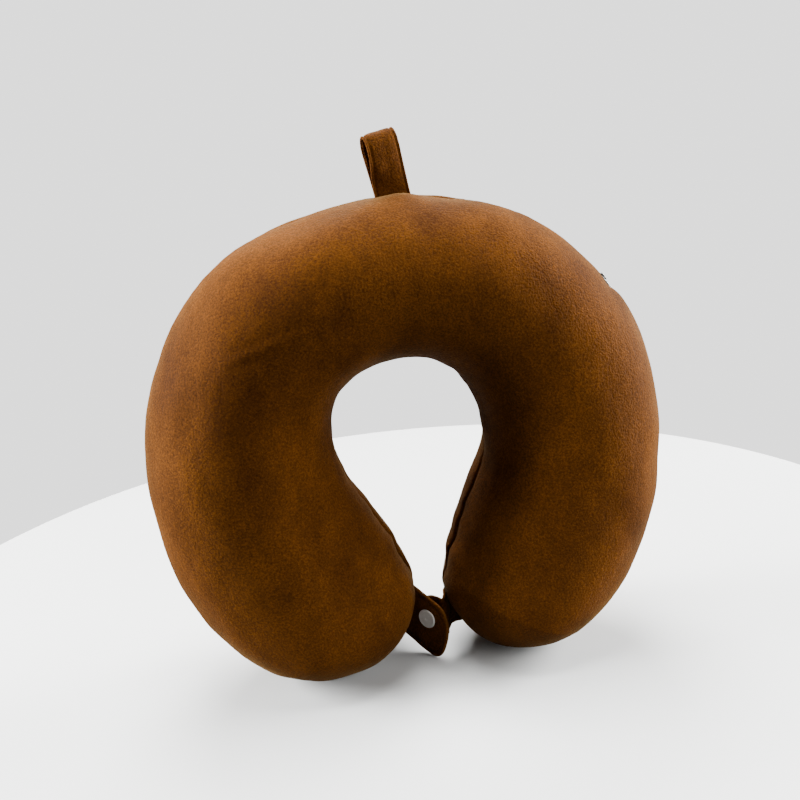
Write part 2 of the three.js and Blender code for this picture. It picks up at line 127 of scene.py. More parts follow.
# Camera: the view that the photo's outline and table edge fit
CAMERA_PLACE = (-0.04188, -0.47382, 0.2760)
CAMERA_TURN = (5.07, 14.24, -6.21)      # to the right, down, and rolled, in degrees
CAMERA_SENSOR = 36      # millimetres, as is the lens
CAMERA_LENS = 39.4353


# ---------------------------------------------------------------------------------------------------
# Small helpers
# ---------------------------------------------------------------------------------------------------
def unit(degrees):
    return np.array([math.cos(math.radians(degrees)), math.sin(math.radians(degrees))])


def smoothstep(value, low, high):
    t = np.clip((value - low) / (high - low), 0, 1)
    return t * t * (3 - 2 * t)


def waves(points, length, count=18, seed=0):
    """Smooth random field of about that wavelength, roughly from -1 to 1, over rows of points."""
    source = np.random.default_rng(seed)
    points = np.atleast_2d(points)
    total = np.zeros(len(points))
    for _ in range(count):
        direction = source.normal(size=points.shape[1])
        direction *= 2 * math.pi / (length * source.uniform(0.7, 1.5)) / np.linalg.norm(direction)
        total += np.sin(points @ direction + source.uniform(0, 2 * math.pi))
    return total / math.sqrt(count / 2)


def travelled_along(points):
    """Distance along a line of points at each of them."""
    return np.concatenate([[0], np.cumsum(np.linalg.norm(np.diff(points, axis=0), axis=1))])


def sampled(at, places, rows):
    """Rows of values, given at places, read off at other places in between."""
    rows = np.asarray(rows, float)
    return np.stack([np.interp(at, places, column) for column in rows.T], 1)


def new_object(name, vertices, faces, material):
    mesh = bpy.data.meshes.new(name)
    mesh.from_pydata([tuple(v) for v in vertices], [], [tuple(f) for f in faces])
    cleaned = bmesh.new()
    cleaned.from_mesh(mesh)
    bmesh.ops.remove_doubles(cleaned, verts=cleaned.verts, dist=1e-6)
    bmesh.ops.recalc_face_normals(cleaned, faces=cleaned.faces)
    cleaned.to_mesh(mesh)
    cleaned.free()
    mesh.polygons.foreach_set("use_smooth", [True] * len(mesh.polygons))
    obj = bpy.data.objects.new(name, mesh)
    bpy.context.scene.collection.objects.link(obj)
    mesh.materials.append(material)
    return obj


def stands_for(piece, node, body):
    """Puts a piece in the place of a CAD node, riding rigidly on that body."""
    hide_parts(node)
    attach(piece, body)


def grid_faces(rows, columns, wrap=False):
    """Four-sided faces over a grid of vertices. With wrap, each row closes into a ring."""
    last = columns if wrap else columns - 1
    return [
        (i * columns + j, i * columns + (j + 1) % columns,
         (i + 1) * columns + (j + 1) % columns, (i + 1) * columns + j)
        for i in range(rows - 1)
        for j in range(last)
    ]


def tube(points, radius, sides=6):
    """Vertices and faces of a round tube along points, with its ends closed."""
    points = np.asarray(points, float)
    ahead = np.gradient(points, axis=0)
    ahead /= np.linalg.norm(ahead, axis=1)[:, None]
    side = np.cross(ahead[0], [0.3, 0.5, 0.8])
    vertices = []
    radii = np.broadcast_to(radius, len(points))
    for point, direction, r in zip(points, ahead, radii):
        side = side - direction * side.dot(direction)
        side /= np.linalg.norm(side)
        other = np.cross(direction, side)
        for k in range(sides):
            angle = 2 * math.pi * k / sides
            vertices.append(point + r * (math.cos(angle) * side + math.sin(angle) * other))
    faces = grid_faces(len(points), sides, wrap=True)
    faces.append(tuple(reversed(range(sides))))
    faces.append(tuple(range((len(points) - 1) * sides, len(points) * sides)))
    return vertices, faces


def joined(parts):
    """Vertices and faces of several meshes put together as one."""
    vertices, faces = [], []
    for part_vertices, part_faces in parts:
        start = len(vertices)
        vertices.extend(part_vertices)
        faces.extend(tuple(start + i for i in face) for face in part_faces)
    return vertices, faces


# ---------------------------------------------------------------------------------------------------
# Materials
# ---------------------------------------------------------------------------------------------------
class Nodes:
    """Thin wrapper that keeps the shader code short."""

    def __init__(self, name):
        self.material = bpy.data.materials.new(name)
        self.material.use_nodes = True
        self.tree = self.material.node_tree
        self.shader = self.tree.nodes["Principled BSDF"]
        self.position = self.tree.nodes.new("ShaderNodeTexCoord").outputs["Object"]

    def add(self, kind, inputs=None, **settings):
        node = self.tree.nodes.new(kind)
        for key, value in settings.items():
            setattr(node, key, value)
        for key, value in (inputs or {}).items():
            if isinstance(value, bpy.types.NodeSocket):
                self.tree.links.new(value, node.inputs[key])
            else:
                node.inputs[key].default_value = value
        return node

    def link(self, output, target):
        self.tree.links.new(output, self.shader.inputs[target])

    def set(self, **values):
        for key, value in values.items():
            self.shader.inputs[key.replace("_", " ")].default_value = value

    def stretched(self, scale, rotation=(0, 0, 0)):
        return self.add("ShaderNodeMapping", {
            "Vector": self.position, "Scale": scale, "Rotation": rotation}).outputs["Vector"]

    def noise(self, scale, detail=2, roughness=0.5, vector=None):
        return self.add("ShaderNodeTexNoise", {
            "Vector": vector or self.position, "Scale": scale, "Detail": detail,
            "Roughness": roughness}).outputs["Fac"]

    def ramp(self, value, stops):
        node = self.add("ShaderNodeValToRGB", {"Fac": value})
        ramp = node.color_ramp
        while len(ramp.elements) < len(stops):
            ramp.elements.new(0.5)
        for element, (place, colour) in zip(ramp.elements, stops):
            element.position = place
            element.color = (*colour, 1)
        return node.outputs["Color"]

    def mix(self, factor, first, second, blend="MIX"):
        node = self.add("ShaderNodeMix", data_type="RGBA", blend_type=blend)
        for socket, value in ((node.inputs[0], factor), (node.inputs[6], first), (node.inputs[7], second)):
            if isinstance(value, bpy.types.NodeSocket):
                self.tree.links.new(value, socket)
            elif isinstance(value, (int, float)):
                socket.default_value = value
            else:
                socket.default_value = (*value, 1)
        return node.outputs[2]

    def math(self, operation, first, second=0.0):
        node = self.add("ShaderNodeMath", operation=operation)
        for socket, value in zip(node.inputs, (first, second)):
            if isinstance(value, bpy.types.NodeSocket):
                self.tree.links.new(value, socket)
            else:
                socket.default_value = value
        return node.outputs["Value"]

    def bump(self, height, distance, strength=1.0, normal=None):
        inputs = {"Height": height, "Distance": distance, "Strength": strength}
        if normal is not None:
            inputs["Normal"] = normal
        return self.add("ShaderNodeBump", inputs).outputs["Normal"]


def velvet_material(name, shade=1.0):
    """Short brown pile: grain of single tufts, patches where the nap is brushed, and a sheen."""
    n = Nodes(name)
    patches = n.noise(22, 3, 0.6, n.stretched((1, 1, 0.6), (0.3, 0.5, 0.2)))
    brushed = n.noise(90, 3, 0.65, n.stretched((1, 1, 0.6), (0.2, 0.9, 0)))
    grain = n.noise(950, 2, 0.6)
    tufts = n.noise(2300, 1, 0.5)
    dark = tuple(shade * c for c in (0.048, 0.0142, 0.0012))
    light = tuple(shade * c for c in (0.114, 0.0372, 0.0038))
    nap = n.math("ADD", n.math("MULTIPLY", patches, 0.75), n.math("MULTIPLY", brushed, 0.25))
    body = n.ramp(nap, [(0.32, dark), (0.66, light)])
    speck = n.ramp(n.math("ADD", n.math("MULTIPLY", grain, 0.65), n.math("MULTIPLY", tufts, 0.35)),
                   [(0.30, (0.42, 0.40, 0.38)), (0.50, (0.94, 0.94, 0.94)), (0.70, (1.65, 1.62, 1.6))])
    n.link(n.mix(1.0, body, speck, "MULTIPLY"), "Base Color")
    n.set(Roughness=0.85, Specular_IOR_Level=0.05, Sheen_Weight=0.10, Sheen_Roughness=0.25,
          Sheen_Tint=(1.0, 0.74, 0.30, 1))
    fine = n.bump(grain, 0.00045, 0.8)
    n.link(n.bump(brushed, 0.0014, 0.4, fine), "Normal")
    return n.material


def foam_material():
    """Pale open-cell memory foam."""
    n = Nodes("foam")
    cells = n.add("ShaderNodeTexVoronoi", {"Vector": n.position, "Scale": 900}).outputs["Distance"]
    tone = n.ramp(n.noise(40, 3), [(0.3, (0.70, 0.63, 0.46)), (0.7, (0.84, 0.79, 0.63))])
    pores = n.ramp(cells, [(0.1, (0.35, 0.3, 0.2)), (0.6, (1, 1, 1))])
    n.link(n.mix(0.35, tone, pores, "MULTIPLY"), "Base Color")
    n.set(Roughness=0.95, Specular_IOR_Level=0.2)
    n.link(n.bump(cells, 0.0006, 0.8), "Normal")
    return n.material


def woven_material(name, colour):
    """Fine twill: two sets of threads that cross."""
    n = Nodes(name)
    threads = {"Vector": n.position, "Scale": 420, "Distortion": 0.6, "Detail": 1.0}
    across = n.add("ShaderNodeTexWave", threads, bands_direction="Z")
    along = n.add("ShaderNodeTexWave", threads, bands_direction="Y")
    weave = n.math("MULTIPLY", across.outputs["Fac"], along.outputs["Fac"])
    tone = n.ramp(weave, [(0.0, tuple(0.45 * c for c in colour)), (0.9, tuple(1.5 * c for c in colour))])
    wear = n.ramp(n.noise(120), [(0.3, (0.6, 0.6, 0.6)), (0.7, (1.2, 1.2, 1.2))])
    n.link(n.mix(0.4, tone, wear, "MULTIPLY"), "Base Color")
    n.set(Roughness=0.95, Specular_IOR_Level=0.02)
    n.link(n.bump(weave, 0.0003, 0.8), "Normal")
    return n.material


def metal_material(name, colour):
    """Nickel plate with fine scratches and duller worn spots."""
    n = Nodes(name)
    scratches = n.noise(700, 3, 0.6, n.stretched((1, 7, 1), (0.2, 0.4, 0.1)))
    worn = n.noise(260, 3, 0.6)
    n.link(n.ramp(worn, [(0.3, tuple(0.6 * c for c in colour)), (0.65, colour)]), "Base Color")
    n.link(n.ramp(scratches, [(0.3, (0.22,) * 3), (0.7, (0.42,) * 3)]), "Roughness")
    n.set(Metallic=1.0)
    n.link(n.bump(scratches, 0.00004, 0.5), "Normal")
    return n.material


def plastic_material(name, colour, roughness=0.38, gloss=0.45):
    """Moulded plastic: a faint grain, a little mottle in the colour, and rubbed high spots."""
    n = Nodes(name)
    grain = n.noise(2600, 2, 0.6)
    mottle = n.noise(150, 3, 0.6)
    n.link(n.ramp(mottle, [(0.3, tuple(0.86 * c for c in colour)), (0.7, colour)]), "Base Color")
    rubbed = [(0.3, (roughness - 0.08,) * 3), (0.7, (roughness + 0.12,) * 3)]
    n.link(n.ramp(n.noise(420, 2), rubbed), "Roughness")
    n.set(Specular_IOR_Level=gloss)
    n.link(n.bump(grain, 0.00004, 0.6), "Normal")
    return n.material


def thread_material(name, colour):
    """Sewing thread with the twist of its plies."""
    n = Nodes(name)
    ply = n.add("ShaderNodeTexWave", {"Vector": n.stretched((1, 1, 1), (0.6, 0.6, 0.3)), "Scale": 900,
                                      "Distortion": 0.4}).outputs["Fac"]
    n.link(n.ramp(ply, [(0.1, tuple(0.5 * c for c in colour)), (0.8, colour)]), "Base Color")
    n.set(Roughness=0.75, Specular_IOR_Level=0.15)
    n.link(n.bump(ply, 0.00008, 0.7), "Normal")
    return n.material


velvet = velvet_material("velvet")
# The straps use the cover's own velvet painted a tenth lighter: painted light that brightens the straps where
# the lamps reach them less.
strap_velvet_painted_lighter = velvet_material("strap_velvet_painted_lighter", 1.1)
foam = foam_material()
webbing = woven_material("webbing", (0.034, 0.011, 0.003))
coil_nylon = plastic_material("coil_nylon", (0.036, 0.012, 0.004), 0.7, 0.03)
nickel = metal_material("nickel", (0.30, 0.29, 0.27))
snap_plastic = plastic_material("snap_plastic", (0.86, 0.83, 0.77))
thread = thread_material("thread", (0.075, 0.026, 0.006))


# ---------------------------------------------------------------------------------------------------
# The cover's surface
# ---------------------------------------------------------------------------------------------------
def seam_runs():
    """The right half's outer and inner runs of arcs, (centre, radius, from, to), and the centres of the
    side's arc and the neck hole's."""
    top = np.array([0, TOP_CENTRE_Z])
    shoulder = top + (TOP[0] - SHOULDER[0]) * unit(TOP[1])
    side = shoulder + (SHOULDER[0] - SIDE[0]) * unit(SHOULDER[1])
    lobe = side + (SIDE[0] - LOBE[0]) * unit(SIDE[1])
    nose = lobe + (LOBE[0] - NOSE[0]) * unit(LOBE[1])
    inner = nose + (NOSE[0] - INNER_R) * unit(NOSE[1])
    neck = np.array([0, inner[1] + math.sqrt((INNER_R + NECK_R) ** 2 - inner[0] ** 2)])
    inner_end = math.degrees(math.atan2(neck[1] - inner[1], neck[0] - inner[0]))
    tip = (LOBE[1] + NOSE[1]) / 2
    outer_run = [(top, TOP[0], 90, TOP[1]), (shoulder, SHOULDER[0], TOP[1], SHOULDER[1]),
                 (side, SIDE[0], SHOULDER[1], SIDE[1]), (lobe, LOBE[0], SIDE[1], LOBE[1]),
                 (nose, NOSE[0], LOBE[1], tip)]
    inner_run = [(neck, NECK_R, 90, inner_end - 180), (inner, INNER_R, inner_end, NOSE[1] + 360),
                 (nose, NOSE[0], NOSE[1], tip)]
    return outer_run, inner_run, side, neck


OUTER_RUN, INNER_RUN, SIDE_CENTRE, NECK_CENTRE = seam_runs()


def run_points(run, fractions, inset=0.0):
    """Points at these fractions of a run's length."""
    pieces = []
    for centre, r, start, end in run:
        radius = r + inset if centre is NECK_CENTRE else r - inset
        angles = np.radians(np.linspace(start, end, 1500))
        pieces.append(centre + radius * np.stack([np.cos(angles), np.sin(angles)], 1))
    line = np.concatenate(pieces)
    length = travelled_along(line)
    return sampled(np.asarray(fractions) * length[-1], length, line)


def lean(x):
    """How far the closed tabs pull the neck hole and the noses to +X."""
    return LEAN * np.clip(1 - (x / LEAN_REACH) ** 2, 0, None) ** 2


def settle(z, softness=0.0018):
    """Presses what is below the floor flat, with a soft edge."""
    return 0.5 * (z + np.sqrt(z * z + 4 * softness ** 2))


def swell(table, stations):
    """A control list turned into metres at every station, with its corners smoothed."""
    places, values = np.array(table, float).T
    fine = np.linspace(-1, 1, 801)
    raw = np.interp(fine, places, values)
    kernel = np.exp(-np.linspace(-2.2, 2.2, 41) ** 2)
    smooth = np.convolve(np.pad(raw, 20, mode="edge"), kernel / kernel.sum(), "valid")
    fade = 1 - smoothstep(np.abs(stations), 0.93, 1.0)
    return 0.001 * np.interp(stations, fine, smooth) * fade


def body_grid(along, turn, inset_plane=0.0, inset_across=0.0):
    """Points of the body. along runs -1..1 from the left nose's tip to the right one's, and turn from 0 at
    the outer seam to pi at the inner one. Both are arrays of one shape."""
    stations = along[:, 0]
    fractions = 1 - (1 - np.abs(stations)) ** 1.5
    outer = run_points(OUTER_RUN, fractions, inset_plane)
    inner = run_points(INNER_RUN, fractions, inset_plane)
    half_width = np.linalg.norm(outer - inner, axis=1) / 2
    fullness = np.minimum(half_width / (FULL_HALF_WIDTH - inset_plane), 1)[:, None]
    across = (1 + np.cos(turn)) / 2
    side = np.sign(stations)[:, None]
    x = side * (inner[:, :1] + (outer[:, :1] - inner[:, :1]) * across)
    z = inner[:, 1:] + (outer[:, 1:] - inner[:, 1:]) * across
    y = (HALF_THICKNESS - inset_across) * fullness * np.sin(turn)
    section = (outer - inner) / np.maximum(2 * half_width, 1e-6)[:, None]

    # the cloth keeps close to the zipper, and closest at the slider
    from_side = outer - SIDE_CENTRE
    degrees = np.degrees(np.arctan2(from_side[:, 1], from_side[:, 0]))
    zipped = smoothstep(degrees, ZIP_BOTTOM - 6, ZIP_BOTTOM)
    zipped = zipped * (1 - smoothstep(degrees, ZIP_TOP, ZIP_TOP + 6))
    zipped = (zipped * (stations > 0))[:, None]
    from_seam = np.minimum(turn, 2 * math.pi - turn)
    valley = 1 - zipped * np.exp(-(from_seam / 0.17) ** 2)
    at_slider = np.exp(-((degrees - SLIDER_AT) / 2.4) ** 2) * (stations > 0)
    valley = valley * (1 - 0.6 * at_slider[:, None] * np.exp(-(from_seam / 0.55) ** 2))

    push = swell(OUTER_SWELL, stations)[:, None] * across * valley
    push = push - swell(INNER_SWELL, stations)[:, None] * (1 - across)
    x = x + side * section[:, :1] * push
    z = z + section[:, 1:] * push
    return np.stack([x + lean(x), y, z], -1)


def grid_normals(points):
    """Unit normals of a grid of points, pointing out of the tube."""
    a = np.gradient(points, axis=0)
    b = np.gradient(points, axis=1)
    normal = np.cross(a, b)
    length = np.linalg.norm(normal, axis=2, keepdims=True)
    return normal / np.maximum(length, 1e-12)


def distance_to_line(points, line):
    """Distance from each point to a polyline, and how far along it the nearest place is, 0..1."""
    best = np.full(len(points), 1e9)
    place = np.zeros(len(points))
    for k in range(len(line) - 1):
        step = line[k + 1] - line[k]
        t = np.clip(((points - line[k]) @ step) / (step @ step), 0, 1)
        distance = np.linalg.norm(points - line[k] - t[:, None] * step, axis=1)
        nearer = distance < best
        best[nearer] = distance[nearer]
        place[nearer] = (k + t[nearer]) / (len(line) - 1)
    return best, place


def zip_share(points):
    """1 where the seam's nearest point lies in the zipper's stretch, with soft ends."""
    from_side = points[..., [0, 2]] - SIDE_CENTRE
    angle = np.degrees(np.arctan2(from_side[..., 1], from_side[..., 0]))
    radius = np.linalg.norm(from_side, axis=-1)
    inside = smoothstep(angle, ZIP_BOTTOM + 0.3, ZIP_BOTTOM + 2.5)
    inside = inside * (1 - smoothstep(angle, ZIP_TOP - 2.7, ZIP_TOP - 0.6))
    return inside * smoothstep(radius, 0.09, 0.11) * (points[..., 0] > 0.03)


def panel_surface(side):
    """The shaped surface of one cover panel, front (-1) or back (1), as a grid from seam to seam."""
    steps = np.linspace(-1, 1, 2 * STATIONS + 1)
    q = np.linspace(0, 1, AROUND + 1)
    q = q - 0.80 * np.sin(2 * math.pi * q) / (2 * math.pi)
    along = np.repeat(steps[:, None], AROUND + 1, 1)
    seam_line = body_grid(along[:, :1], np.zeros((len(steps), 1)))
    zip_part = zip_share(seam_line)[:, 0]
    seam_gap = -SEAM_PRESS + zip_part * (ZIP_HALF_GAP + SEAM_PRESS)
    start = np.arcsin(seam_gap / HALF_THICKNESS)
    turn = start[:, None] + (math.pi - start[:, None]) * q[None, :]
    points = body_grid(along, turn)
    normals = grid_normals(points)
    points[..., 1] *= side
    normals[..., 1] *= side

    # distance over the surface from the panel's outer seam and from its inner one
    step = np.linalg.norm(np.diff(points, axis=1), axis=2)
    from_outer = np.concatenate([np.zeros((len(steps), 1)), np.cumsum(step, 1)], 1)
    from_inner = from_outer[:, -1:] - from_outer
    edge = np.minimum(from_outer, from_inner)

    reach = np.clip(LIP_R - edge, 0, None)
    lip = LIP_R - np.sqrt(np.clip(LIP_R ** 2 - reach ** 2, 0, None))

    flat = points.reshape(-1, 3)
    shape = edge.shape
    mirrored = flat * [1, 0.35, 1]
    pucker = waves(mirrored, 0.0075, 22, 3).reshape(shape)
    ripple = waves(mirrored, 0.017, 22, 4).reshape(shape)
    soft = waves(flat, 0.070, 16, 5 if side < 0 else 6).reshape(shape)
    softer = waves(flat, 0.028, 20, 7 if side < 0 else 8).reshape(shape)

    # the inner wall is short of length along the seam, so its cloth gathers there, low on the lobes
    height = points[..., 2]
    gather = smoothstep(from_outer / np.maximum(from_outer[:, -1:], 1e-6), 0.72, 1.0)
    gathered_low = gather * (1 - smoothstep(height, 0.07, 0.13)) * smoothstep(height, 0.0, 0.03)

    depth = -lip
    depth -= 0.0011 * np.exp(-from_outer / 0.0045) + 0.0006 * np.exp(-from_inner / 0.0035)
    depth += 0.00018 * pucker * np.exp(-edge / 0.006)
    depth += 0.00030 * ripple * np.exp(-from_inner / 0.012)
    depth += 0.00028 * ripple * gathered_low * np.exp(-from_inner / 0.020)
    depth += 0.00045 * soft + 0.00016 * softer
    if side < 0:
        from_loop = np.linalg.norm(points - LOOP_TUCK, axis=2)
        depth += 0.0016 * np.exp(-(from_loop / 0.0085) ** 2)
        near, place = distance_to_line(flat[:, [0, 2]], CREASE)
        fade = (smoothstep(place, 0.0, 0.2) * (1 - smoothstep(place, 0.75, 1.0))).reshape(shape)
        near = near.reshape(shape)
        depth += fade * (0.00120 * np.exp(-(near / 0.0015) ** 2) - 0.00045 * np.exp(-(near / 0.0045) ** 2))
    points = points + normals * depth[..., None]
    points[..., 2] = settle(points[..., 2])
    return points


def cover_panel(name, node, side):
    """One cover panel as a closed cloth shell. Its outer surface's points are given back."""
    points = panel_surface(side)
    rows, columns = points.shape[:2]
    panel = new_object(name, points.reshape(-1, 3), grid_faces(rows, columns), velvet)
    outermost = max(panel.data.polygons, key=lambda face: face.center.y * side)
    if outermost.normal.y * side < 0:
        panel.data.flip_normals()
    shell = panel.modifiers.new("cloth_thickness", "SOLIDIFY")
    shell.thickness = CLOTH_THICKNESS
    shell.offset = -1
    stands_for(panel, node, "pillow")
    return points


def foam_block():
    """The foam core: the body's form set in by a few millimetres, flat where it rests."""
    steps = np.linspace(-1, 1, FOAM_STATIONS)
    turns = np.linspace(0, 2 * math.pi, FOAM_AROUND, endpoint=False)
    along = np.repeat(steps[:, None], FOAM_AROUND, 1)
    points = body_grid(along, np.repeat(turns[None], FOAM_STATIONS, 0), FOAM_INSET, FOAM_INSET_ACROSS)
    flat = points.reshape(-1, 3)
    flat = flat + 0.00035 * waves(flat, 0.05, 14, 11)[:, None] * np.array([0.2, 1, 0.2])
    flat[:, 2] = FOAM_INSET + settle(flat[:, 2] - FOAM_INSET)
    core = new_object("foam_block", flat, grid_faces(FOAM_STATIONS, FOAM_AROUND, wrap=True), foam)
    stands_for(core, "foam_core", "pillow")


panels = {place: cover_panel(f"{place}_cover_cloth", f"cover_{place}_panel", side)
          for place, side in SIDES.items()}
foam_block()


# ---------------------------------------------------------------------------------------------------
# Zipper
# ---------------------------------------------------------------------------------------------------
def side_point(degrees, radial, y):
    """A point on the zipped arc, at that height over the cover's surface."""
    place = SIDE_CENTRE + (SIDE[0] + radial) * unit(degrees)
    return np.array([place[0], y, place[1]])


def zipper_coil(name, node, side):
    """One half of the zipper's teeth: a flattened nylon spiral sewn along the tape's edge."""
    sweep = COIL_TOP - COIL_BOTTOM
    turns = int(SIDE[0] * math.radians(sweep) / COIL_PITCH)
    steps = np.arange(turns * 12 + 1) / 12
    shift = 0.5 if side > 0 else 0.0        # one half's turns lie between the other's
    points = []
    for step in steps:
        angle = 2 * math.pi * (step + shift)
        degrees = COIL_TOP - sweep * step / turns
        across = 0.00100 - 0.00135 * math.cos(angle)
        radial = -0.0021 + 0.00055 * math.sin(angle)
        points.append(side_point(degrees, radial, side * across))
    stands_for(new_object(name, *tube(points, COIL_WIRE_R), coil_nylon), node, "pillow")


def stitch_run(points, normals, pitch, length, radius, lift=0.0):
    """Stitches laid along a line of points: short rounded threads that dip at both ends."""
    travelled = travelled_along(points)
    arch = np.sin(np.linspace(0, math.pi, 7)) ** 0.6
    parts = []
    for k in range(int(travelled[-1] // pitch)):
        at = travelled[0] + (k + 0.15) * pitch + np.linspace(0, length, 7)
        line = sampled(at, travelled, points)
        line = line + sampled(at, travelled, normals) * (radius * (arch[:, None] * 1.3 - 0.9) + lift)
        parts.append(tube(line, radius * (0.55 + 0.45 * arch)))
    return joined(parts)


def zipper_stitching(name, side, surface):
    """The line of stitches that holds the tape, on the panel's surface beside the zipper's slot."""
    along_zip = surface[zip_share(surface[:, 0]) > 0.9]
    step = np.linalg.norm(np.diff(along_zip, axis=1), axis=2)
    travelled = np.concatenate([np.zeros((len(along_zip), 1)), np.cumsum(step, 1)], 1)
    points = np.concatenate([sampled([STITCH_FROM_SLOT], far, row)
                             for far, row in zip(travelled, along_zip)])
    from_side = points[:, [0, 2]] - SIDE_CENTRE
    away = from_side / np.linalg.norm(from_side, axis=1)[:, None]
    outward = np.stack([away[:, 0] * 0.98, np.full(len(points), side * 0.2), away[:, 1] * 0.98], 1)
    run = stitch_run(points, outward, pitch=0.0030, length=0.0021, radius=0.00024, lift=0.00008)
    stitches = new_object(name, *run, thread)
    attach(stitches, "pillow")


def stamped(name, node, body):
    """A stamped metal piece: the frame's solid with its edges rounded."""
    source = frame["nodes"][node]
    piece = bpy.data.objects.new(name, source.data.copy())
    bpy.context.scene.collection.objects.link(piece)
    cleaned = bmesh.new()
    cleaned.from_mesh(piece.data)
    bmesh.ops.remove_doubles(cleaned, verts=cleaned.verts, dist=1e-5)
    bmesh.ops.dissolve_limit(cleaned, angle_limit=math.radians(1), verts=cleaned.verts,
                             edges=cleaned.edges)
    cleaned.to_mesh(piece.data)
    cleaned.free()
    piece.data.materials.clear()
    piece.data.materials.append(nickel)
    bevel = piece.modifiers.new("edges", "BEVEL")
    bevel.width = STAMPED_EDGE_R
    bevel.segments = 3
    bevel.limit_method = "ANGLE"
    bevel.angle_limit = math.radians(30)
    piece.data.polygons.foreach_set("use_smooth", [True] * len(piece.data.polygons))
    piece.modifiers.new("shading", "WEIGHTED_NORMAL")
    stands_for(piece, node, body)


for place, side in SIDES.items():
    zipper_coil(f"{place}_coil_spiral", f"zipper_coil_{place}", side)
    zipper_stitching(f"{place}_zipper_stitching", side, panels[place])
    stamped(f"{place}_top_stop", f"zipper_top_stop_{place}", "pillow")
    tape = frame["nodes"][f"zipper_tape_{place}"]       # the CAD's tape stays, with a woven look
    tape.data.materials.clear()
    tape.data.materials.append(webbing)
stamped("bottom_stop", "zipper_bottom_stop", "pillow")
stamped("slider_shell", "zipper_slider_body", "slider")
stamped("slider_pull", "zipper_pull_tab", "pull")


# ---------------------------------------------------------------------------------------------------
# Velvet straps: the hanging loop and the two snap tabs
# ---------------------------------------------------------------------------------------------------
def strap_surface(middle, width_dir, out_dir, half_width, half_thick, tip_r, channel, puff,
                  columns=44, edge_r=0.0013):
    """The two faces of a flat sewn strap, with rounded edges and a channel where it is stitched.

    middle, width_dir, out_dir and half_width have one row per station. channel is how far the stitches lie
    from the edge, and puff how far the cloth stands out inside them. Where tip_r isn't 0, the last stations
    close to a rounded end of that radius."""
    length = travelled_along(middle)
    across = np.sin(np.linspace(-math.pi / 2, math.pi / 2, columns))
    rings = []
    for i in range(len(middle)):
        w = half_width[i]
        end_distance = np.full(columns, 1.0)
        if tip_r:
            inward = min(length[-1] - length[i], tip_r)
            cut = tip_r - math.sqrt(max(tip_r ** 2 - (tip_r - inward) ** 2, 0))
            w = max(w - cut, 0.00002)
            corner = half_width[i] - tip_r
            offset = np.clip(np.abs(across * w) - corner, 0, None)
            end_distance = tip_r - np.hypot(tip_r - inward, offset)
        edge = np.clip(np.minimum(w * (1 - np.abs(across)), end_distance), 0, None)
        round_off = np.sqrt(np.clip(1 - (1 - np.clip(edge / edge_r, 0, 1)) ** 2, 0, 1))
        thick = half_thick * round_off + puff * smoothstep(edge, 0.001, 0.006)
        thick = np.maximum(thick - 0.00055 * np.exp(-((edge - channel) / 0.0007) ** 2), 0.0)
        line = middle[i] + across[:, None] * w * width_dir[i]
        rings.append((line, thick, out_dir[i]))
    upper = np.array([line + thick[:, None] * out for line, thick, out in rings])
    lower = np.array([line - thick[:, None] * out for line, thick, out in rings])
    return upper, lower


def strap_object(name, upper, lower):
    """A strap closed from its two faces, a little uneven except at its thin edges."""
    rows, columns = upper.shape[:2]
    flat = np.concatenate([upper, lower[:, ::-1]], 1).reshape(-1, 3)
    rough = waves(flat, 0.008, 20, 21)[:, None] * 0.00009
    between = (upper + lower) / 2
    away = flat - np.concatenate([between, between[:, ::-1]], 1).reshape(-1, 3)
    size = np.linalg.norm(away, axis=1, keepdims=True)
    flat = flat + away * np.clip(size / 0.0008, 0, 1) / np.maximum(size, 1e-9) * rough
    faces = grid_faces(rows, 2 * columns, wrap=True)
    faces.append(tuple(range(2 * columns)))
    faces.append(tuple(reversed(range((rows - 1) * 2 * columns, rows * 2 * columns))))
    return new_object(name, flat, faces, strap_velvet_painted_lighter)


def strap_directions(points, guide):
    """Width and outward directions along a centre line, with the width kept near guide."""
    ahead = np.gradient(points, axis=0)
    ahead /= np.linalg.norm(ahead, axis=1)[:, None]
    width = guide - ahead * (guide * ahead).sum(1)[:, None]
    width /= np.linalg.norm(width, axis=1)[:, None]
    return width, np.cross(ahead, width)


def smooth_line(knots, count):
    """A smooth curve through the knots, evenly spaced."""
    knots = np.asarray(knots, float)
    key = travelled_along(knots)
    fine = np.linspace(0, key[-1], 400)
    out = []
    for column in knots.T:
        slope = np.gradient(column, key)
        i = np.clip(np.searchsorted(key, fine, side="right") - 1, 0, len(key) - 2)
        h = key[i + 1] - key[i]
        t = (fine - key[i]) / h
        out.append((2 * t ** 3 - 3 * t ** 2 + 1) * column[i] + (t ** 3 - 2 * t ** 2 + t) * h * slope[i]
                   + (3 * t ** 2 - 2 * t ** 3) * column[i + 1] + (t ** 3 - t ** 2) * h * slope[i + 1])
    line = np.stack(out, 1)
    travelled = travelled_along(line)
    return sampled(np.linspace(0, travelled[-1], count), travelled, line)


